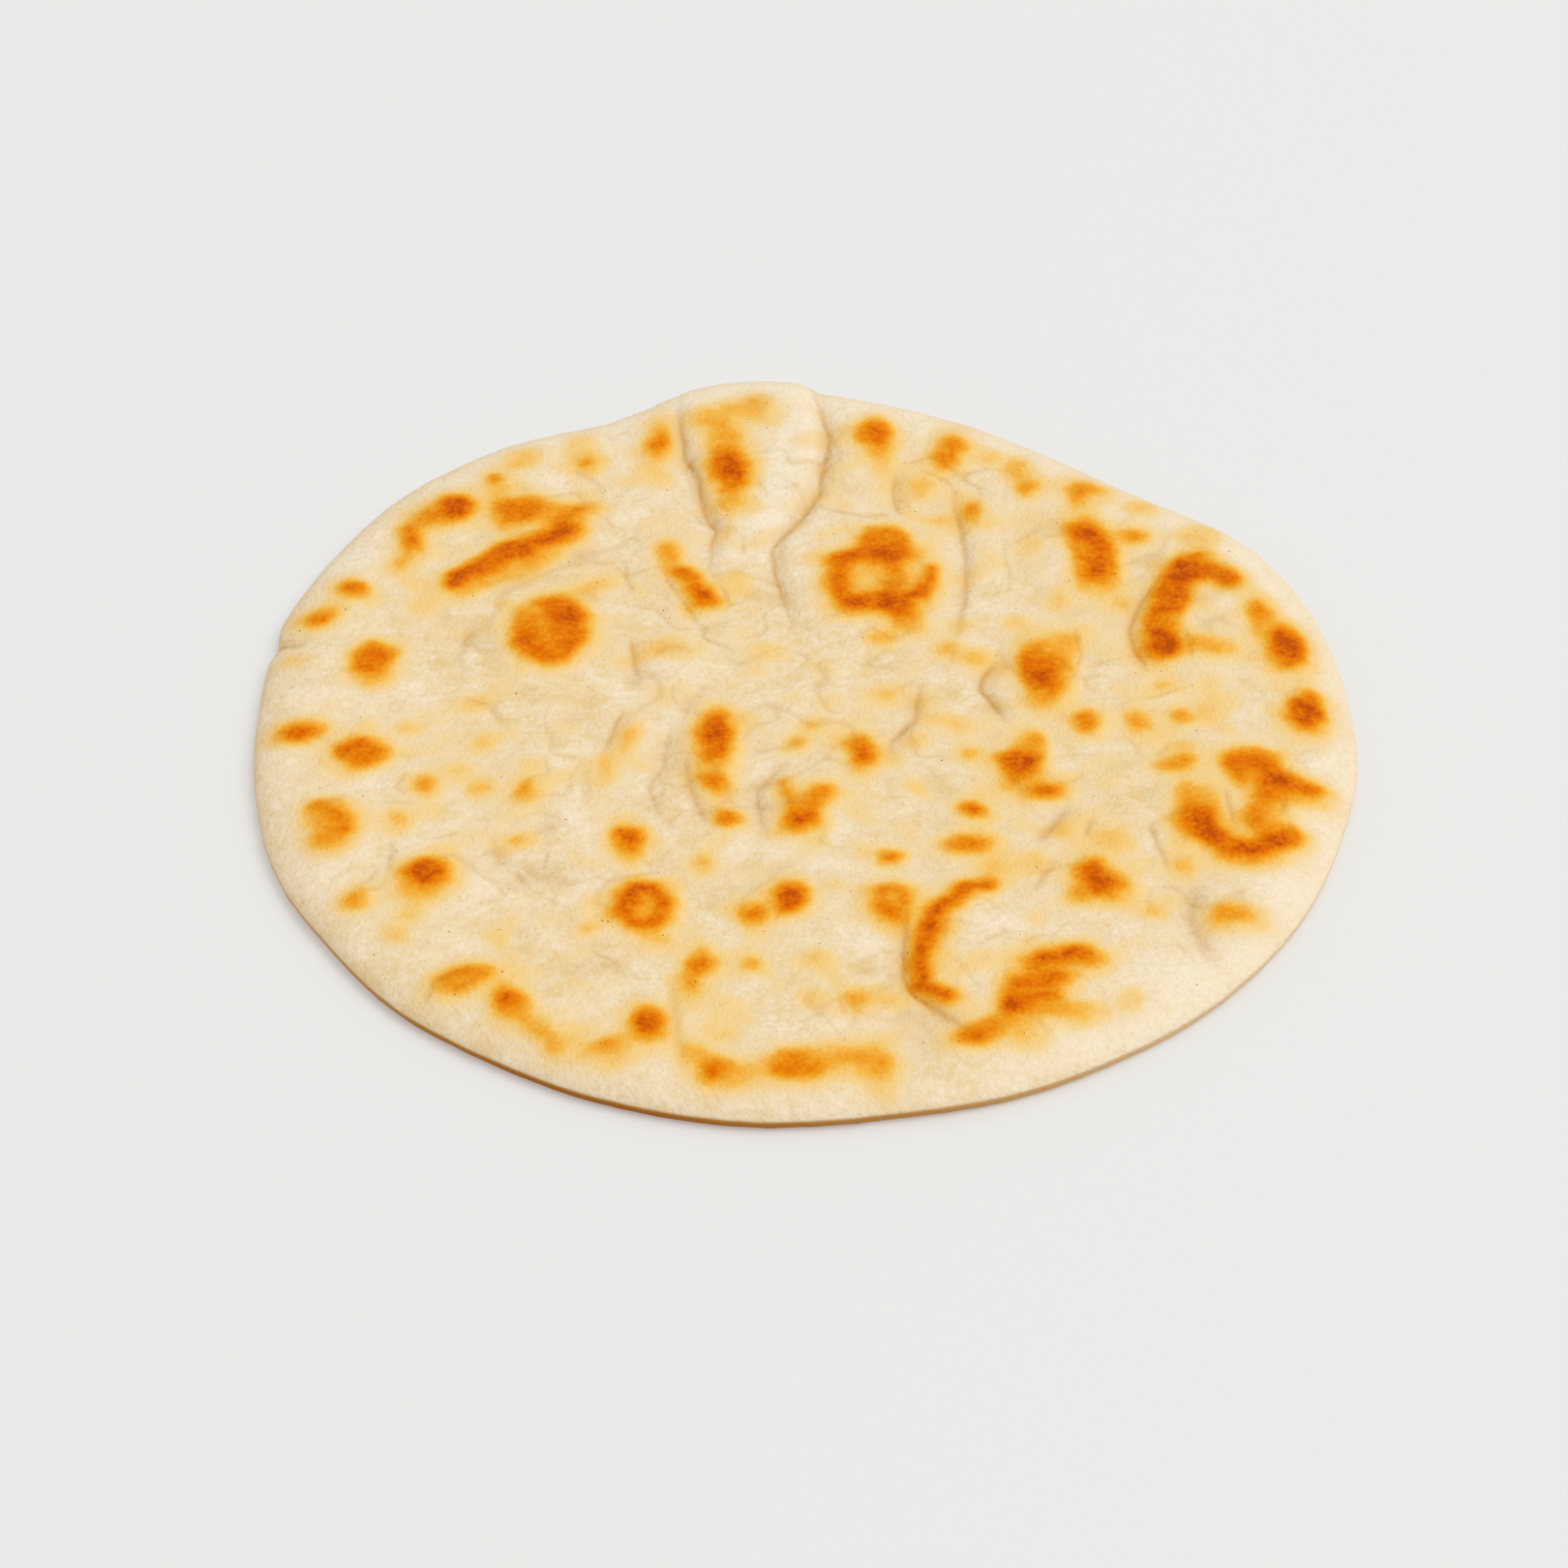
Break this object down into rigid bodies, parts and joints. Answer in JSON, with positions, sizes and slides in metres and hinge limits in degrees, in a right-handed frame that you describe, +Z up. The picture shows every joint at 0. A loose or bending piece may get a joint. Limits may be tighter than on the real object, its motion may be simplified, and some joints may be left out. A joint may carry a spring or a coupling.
{
  "type": "pita bread",
  "caption": "Round pocketless pita bread lying flat, with a blistered, creased top, a rounded edge and toasted spots.",
  "frame": {"origin": "middle of the bread's footprint, at the level of its flat underside", "axes": "+Z up out of the toasted top face, +Y towards the puffed blister at the back edge, +X to the right seen from the front"},
  "size_m": [0.172, 0.1834, 0.0065],
  "materials": {
    "baked_dough": "matte cream crust with soft golden to brown toasted spots"
  },
  "bodies": {
    "root": {"pita_bread": "baked_dough"}
  },
  "joints": []
}
